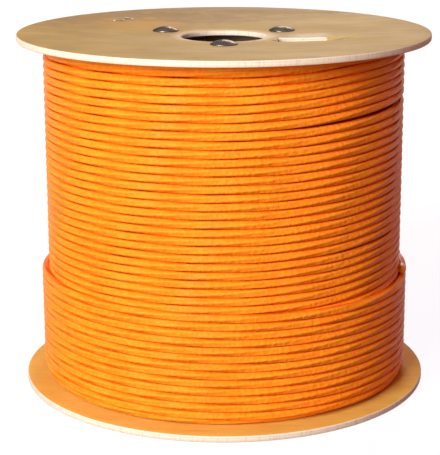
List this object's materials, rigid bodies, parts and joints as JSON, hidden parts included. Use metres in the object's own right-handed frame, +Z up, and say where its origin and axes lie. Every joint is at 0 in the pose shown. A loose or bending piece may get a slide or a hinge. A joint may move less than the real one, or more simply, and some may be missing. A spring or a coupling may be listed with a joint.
{
  "type": "plywood cable drum",
  "caption": "Plywood cable drum standing on one flange, wound with orange data cable, with a central arbor bore.",
  "frame": {"origin": "middle of the base, on the drum's axis, at the floor", "axes": "+Z up along the drum's axis, -Y towards the viewer of the picture, +X to the right"},
  "size_m": [0.3999, 0.4, 0.345],
  "materials": {
    "plywood_flange": "sanded plywood, pale cut edges",
    "barrel_board": "raw fibreboard tube",
    "cable_sheath": "satin halogen-free sheath",
    "zinc_steel": "bright zinc plate"
  },
  "bodies": {
    "root": {"top_flange": "plywood_flange", "bottom_flange": "plywood_flange", "barrel": "barrel_board", "cable_winding": "cable_sheath", "tie_bolt_front": "zinc_steel", "tie_bolt_back_left": "zinc_steel", "tie_bolt_back_right": "zinc_steel", "tee_nuts": "zinc_steel"}
  },
  "joints": []
}
